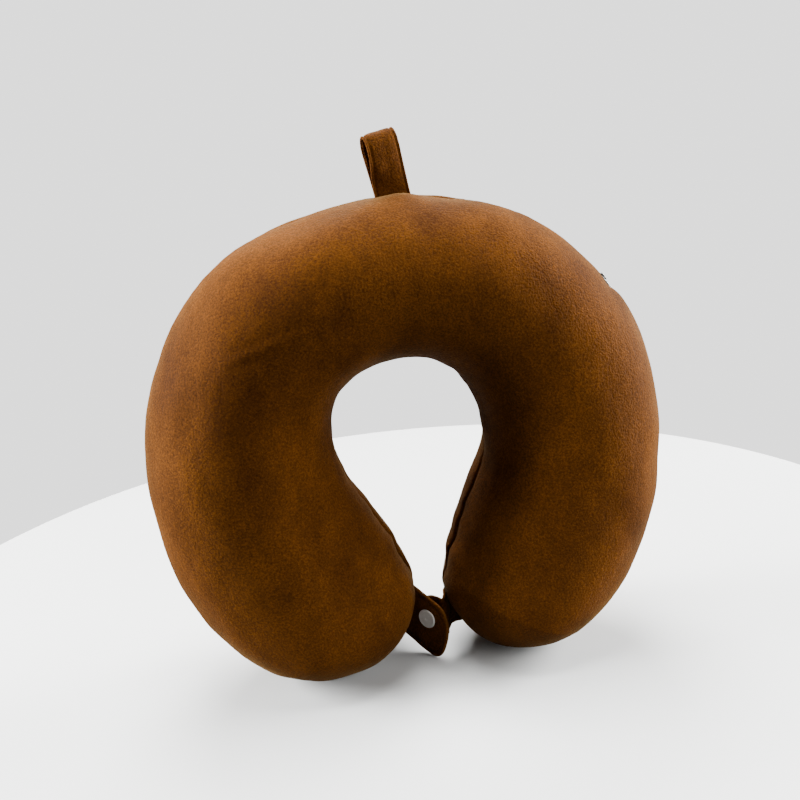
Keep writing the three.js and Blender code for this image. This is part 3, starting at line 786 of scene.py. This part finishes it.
def hanging_loop():
    """A folded strap: up the front leg, over the top and down the back leg, leaning and turned a little."""
    section = smooth_line([(-0.0012, 0.2640), (-0.0014, 0.2690), (-0.0024, 0.2770), (-0.0036, 0.2860),
                           (-0.0042, 0.2912), (-0.0037, 0.2954), (-0.0019, 0.2982), (0.0, 0.2989),
                           (0.0019, 0.2982), (0.0037, 0.2954), (0.0042, 0.2912), (0.0036, 0.2860),
                           (0.0024, 0.2770), (0.0014, 0.2690), (0.0012, 0.2640)], 110)
    height = (section[:, 1] - 0.268) / 0.032
    twist = np.radians(17) * smoothstep(height, 0.0, 0.6)
    shift = 0.0078 - 0.0050 * np.clip(height, -0.2, 1.05)
    tip_up = 0.20 * smoothstep(height, 0.0, 0.9)
    wide = np.stack([np.cos(twist), np.sin(twist), tip_up], 1)
    wide /= np.linalg.norm(wide, axis=1)[:, None]
    fore = np.stack([-np.sin(twist), np.cos(twist), np.zeros(len(twist))], 1)
    middle = fore * section[:, :1]
    middle[:, 0] += shift
    middle[:, 2] = section[:, 1]
    width, out = strap_directions(middle, wide)
    half = 0.0094 - 0.0003 * smoothstep(height, 0.15, 1.0)
    loop = strap_object("loop_strap", *strap_surface(
        middle, width, out, half, half_thick=0.0009, tip_r=0, channel=0.0016, puff=0.0002, edge_r=0.0009))
    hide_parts("hanging_loop")
    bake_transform(loop)


def left_frame():
    """The left tab's sewn root, and its directions along, up and towards the front."""
    root = Vector(joints["left_tab_swing"]["pos_m"])
    heading, droop = math.radians(TAB_HEADING), math.radians(TAB_DROOP)
    level = math.cos(droop)
    along = Vector((level * math.cos(heading), -level * math.sin(heading), -math.sin(droop)))
    front = Vector((-math.sin(heading), -math.cos(heading), 0))
    return root, along, front.cross(along), front


ROOT, ALONG, UP, FRONT = (np.array(v) for v in left_frame())
SNAP = ROOT + SNAP_DISTANCE * ALONG
FLAT = np.array([-FRONT[1], FRONT[0], 0])        # level, in the left tab's plane


def tab_stitching(name, middle, width, out, half_width, tip_r, lift):
    """Top stitching on both faces of a tab, up one edge, round the end and back along the other one."""
    length = travelled_along(middle)
    total, inset = length[-1], TAB_STITCH_INSET
    corner, bend = half_width - tip_r, tip_r - inset
    turning = np.linspace(0, math.pi / 2, 24)
    up_edge = [(v, half_width - inset) for v in np.linspace(0, total - tip_r, 60, endpoint=False)]
    up_edge += [(total - tip_r + bend * math.sin(t), corner + bend * math.cos(t)) for t in turning]
    over_end = [(total - inset, u) for u in np.linspace(corner, -corner, 20)[1:-1]]
    distance, offset = np.array(up_edge + over_end + [(v, -u) for v, u in reversed(up_edge)]).T
    place, sideways, outward = (sampled(distance, length, rows) for rows in (middle, width, out))
    path = place + sideways * offset[:, None]
    stitches = new_object(name, *joined([
        stitch_run(path + outward * face * lift, face * outward, pitch=0.0026, length=0.0018, radius=0.00022)
        for face in (1, -1)]), thread)
    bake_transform(stitches)


def left_tab():
    """Wider below the snap than above it, with its end curling towards the front."""
    end_sweep = 0.016 + 0.014 * np.sin(np.linspace(0.06, math.pi / 2, 34))
    stations = np.concatenate([np.linspace(-0.016, 0.016, 56), end_sweep])
    middle, width, out = [], [], []
    for s in stations:
        beyond = max(s - 0.014, 0)
        drop = 0.0042 + 0.0010 * float(smoothstep(s, -0.004, 0.020))
        curl = 15.0 * beyond ** 2
        middle.append(ROOT + s * ALONG + curl * FRONT - (drop + 8.0 * beyond ** 2) * UP)
        width.append(UP)
        tilt = -28.0 * beyond
        out.append(FRONT * math.cos(tilt) + ALONG * math.sin(tilt))
    middle, width, out = np.array(middle), np.array(width), np.array(out)
    half = np.full(len(stations), LEFT_TAB_HALF_WIDTH)
    tab = strap_object("left_tab_strap", *strap_surface(
        middle, width, out, half, half_thick=0.0011, tip_r=LEFT_TAB_TIP_R, channel=TAB_STITCH_INSET,
        puff=0.00035, columns=56))
    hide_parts("left_snap_tab")
    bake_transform(tab)
    tab_stitching("left_tab_stitching", middle, width, out, LEFT_TAB_HALF_WIDTH, LEFT_TAB_TIP_R,
                  0.00095)


def right_line():
    """The right tab's centre line: out of the right nose, round a bend, and back behind the left tab."""
    root = np.array(joints["right_tab_swing"]["pos_m"])
    stud = SNAP - TAB_STACK * FRONT
    knots = [root + np.array([0.014, 0.004, -0.001]), root + np.array([0.0, -0.0005, 0]),
             root + np.array([-0.0021, -0.0055, -0.001]), stud + 0.0072 * FLAT + 0.0002 * FRONT,
             stud + 0.0035 * FLAT, stud, stud - 0.0035 * FLAT, stud - 0.0072 * FLAT]
    return smooth_line(knots, 90), root


def right_tab():
    """A strap that comes out of the right nose on edge and turns upright behind the left tab."""
    middle, root = right_line()
    edge = np.array([-0.34, 0, 0.94])
    share = smoothstep(np.linspace(0, 1, len(middle)), 0.15, 0.55)[:, None]
    guide = edge * (1 - share) + np.array([0, 0, 1.0]) * share
    width, out = strap_directions(middle, guide)
    half = np.full(len(middle), RIGHT_TAB_HALF_WIDTH)
    tab = strap_object("right_tab_strap", *strap_surface(
        middle, width, out, half, half_thick=0.00085, tip_r=RIGHT_TAB_TIP_R, channel=0.0030,
        puff=0.00015, columns=50))
    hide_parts("right_snap_tab")
    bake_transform(tab)
    tab_stitching("right_tab_stitching", middle, width, out, RIGHT_TAB_HALF_WIDTH, RIGHT_TAB_TIP_R,
                  0.00060)


def turned(name, node, profile, body):
    """A round snap piece turned about the snap's axis, from (radius, height over the left tab's middle)."""
    segments = 72
    vertices = []
    for radius, height in profile:
        for k in range(segments):
            angle = 2 * math.pi * k / segments
            spoke = math.cos(angle) * ALONG + math.sin(angle) * UP
            vertices.append(SNAP + FRONT * height + radius * spoke)
    piece = new_object(name, vertices, grid_faces(len(profile), segments, wrap=True), snap_plastic)
    stands_for(piece, node, body)


def cap_profile(base, facing, shank_end):
    """Low dome with a raised rim and a small dimple at the middle, on its shank."""
    def at(radius, height):
        """A point of the cap itself, from its radius and height in millimetres."""
        return (radius * 0.001, base + facing * height * 0.001)
    rows = [(0.0, shank_end), (0.0010, shank_end), (0.0010, base), at(5.2, 0.0)]
    rows += [at(5.25 + 0.55 * math.cos(a), 0.55 + 0.55 * math.sin(a))
             for a in np.radians(np.linspace(-90, 90, 9))]
    rows += [at(4.85, 1.02), at(4.6, 0.92), at(4.4, 0.90), at(3.5, 1.0), at(2.2, 1.08), at(1.25, 1.12),
             at(0.95, 1.08), at(0.75, 0.88), at(0.45, 0.80), at(0.0, 0.78)]
    return rows


hanging_loop()
left_tab()
right_tab()
turned("front_cap_disc", "front_snap_cap", cap_profile(0.0014, 1, -0.0010), "left_tab")
turned("rear_cap_disc", "rear_snap_cap", cap_profile(-TAB_STACK - 0.0013, -1, -TAB_STACK + 0.001),
       "right_tab")
turned("socket_ring", "snap_socket",
       [(0, -0.0013), (0.0042, -0.0013), (0.0046, -0.0016), (0.0046, -0.0026), (0.0043, -0.0030),
        (0.0033, -0.0030), (0.0030, -0.0027), (0.0030, -0.0018), (0, -0.0018)], "left_tab")
turned("stud_post", "snap_stud",
       [(0, -0.0038), (0.0044, -0.0038), (0.0046, -0.0036), (0.0044, -0.0033), (0.0016, -0.0033),
        (0.0014, -0.0031), (0.0014, -0.0028), (0.0011, -0.0025), (0, -0.0025)], "right_tab")


# ---------------------------------------------------------------------------------------------------
# Stage, light and camera
# ---------------------------------------------------------------------------------------------------
def stage():
    """Round pale table top with a rounded edge."""
    radius, thick, edge = 0.385, 0.026, 0.007
    profile = [(0.0, 0.0)]
    profile += [(r, 0.0) for r in np.linspace(0.05, radius - edge, 8)]
    profile += [(radius - edge + edge * math.sin(a), -edge + edge * math.cos(a))
                for a in np.radians(np.linspace(10, 90, 9))]
    profile += [(radius, -thick), (radius - 0.01, -thick - 0.004), (0.0, -thick - 0.004)]
    segments = 160
    vertices = [(-0.008 + r * math.cos(t), 0.098 + r * math.sin(t), z)
                for r, z in profile for t in np.linspace(0, 2 * math.pi, segments, endpoint=False)]
    n = Nodes("table_top")
    pale = n.ramp(n.noise(3, 2), [(0.3, (0.75, 0.76, 0.75)), (0.7, (0.79, 0.80, 0.79))])
    dim = n.mix(1.0, pale, (FLOOR_BOUNCE,) * 3, "MULTIPLY")
    seen = n.add("ShaderNodeLightPath", {}).outputs["Is Camera Ray"]
    n.link(n.mix(seen, dim, pale), "Base Color")
    n.set(Roughness=0.5, Specular_IOR_Level=0.3)
    n.link(n.bump(n.noise(600, 2), 0.00005, 0.3), "Normal")
    new_object("table_top", vertices, grid_faces(len(profile), segments, wrap=True), n.material)


def room_light():
    """Bright behind and dim in front to the object, and an even backdrop to the camera."""
    world = bpy.data.worlds.new("room")
    world.use_nodes = True
    nodes, links = world.node_tree.nodes, world.node_tree.links
    direction = nodes.new("ShaderNodeTexCoord")
    split = nodes.new("ShaderNodeSeparateXYZ")
    links.new(direction.outputs["Generated"], split.inputs["Vector"])
    depth = nodes.new("ShaderNodeMath")
    depth.operation = "MULTIPLY_ADD"
    depth.inputs[1].default_value = 0.5
    depth.inputs[2].default_value = 0.5
    links.new(split.outputs["Y"], depth.inputs[0])
    shade = nodes.new("ShaderNodeValToRGB")
    links.new(depth.outputs["Value"], shade.inputs["Fac"])
    ends = ((0.15, WORLD_FRONT), (0.85, WORLD_BACK))
    for element, (place, colour) in zip(shade.color_ramp.elements, ends):
        element.position = place
        element.color = (*colour, 1)
    seen = nodes.new("ShaderNodeLightPath")
    choose = nodes.new("ShaderNodeMix")
    choose.data_type = "RGBA"
    links.new(seen.outputs["Is Camera Ray"], choose.inputs[0])
    links.new(shade.outputs["Color"], choose.inputs[6])
    choose.inputs[7].default_value = (*WORLD_SEEN, 1)
    links.new(choose.outputs[2], nodes["Background"].inputs["Color"])
    nodes["Background"].inputs["Strength"].default_value = 1.0
    bpy.context.scene.world = world


def light(name, place, size, power):
    """A round soft lamp that faces the pillow's middle."""
    lamp = bpy.data.lights.new(name, "AREA")
    lamp.shape = "DISK"
    lamp.size = size
    lamp.energy = power
    obj = bpy.data.objects.new(name, lamp)
    obj.location = place
    facing = Vector(LIGHT_TARGET) - Vector(place)
    obj.rotation_euler = facing.to_track_quat("-Z", "Y").to_euler()
    bpy.context.scene.collection.objects.link(obj)


def camera():
    """A close view from the front, a little from the left and above."""
    yaw, pitch, roll = (math.radians(a) for a in CAMERA_TURN)
    level = math.cos(pitch)
    ahead = Vector((math.sin(yaw) * level, math.cos(yaw) * level, -math.sin(pitch)))
    right = Vector((math.cos(yaw), -math.sin(yaw), 0))
    up = right.cross(ahead)
    turned_right = math.cos(roll) * right + math.sin(roll) * up
    turned_up = -math.sin(roll) * right + math.cos(roll) * up
    data = bpy.data.cameras.new("camera")
    data.sensor_width = CAMERA_SENSOR
    data.lens = CAMERA_LENS
    data.clip_start, data.clip_end = 0.01, 20
    obj = bpy.data.objects.new("camera", data)
    bpy.context.scene.collection.objects.link(obj)
    axes = Matrix((turned_right, turned_up, -ahead)).transposed()
    obj.matrix_world = Matrix.Translation(CAMERA_PLACE) @ axes.to_4x4()
    bpy.context.scene.camera = obj


stage()
room_light()
light("window_left", (-1.38, 0.17, 0.62), size=0.8, power=98)
light("window_back", (0.0, 0.9, 1.4), size=1.0, power=54)
light("overhead", (0.0, 0.05, 1.7), size=0.9, power=52)
light("room_right", (1.36, 0.23, 0.50), size=0.8, power=88)
light("fill_right", (0.95, -0.85, 0.55), size=0.8, power=16)
camera()
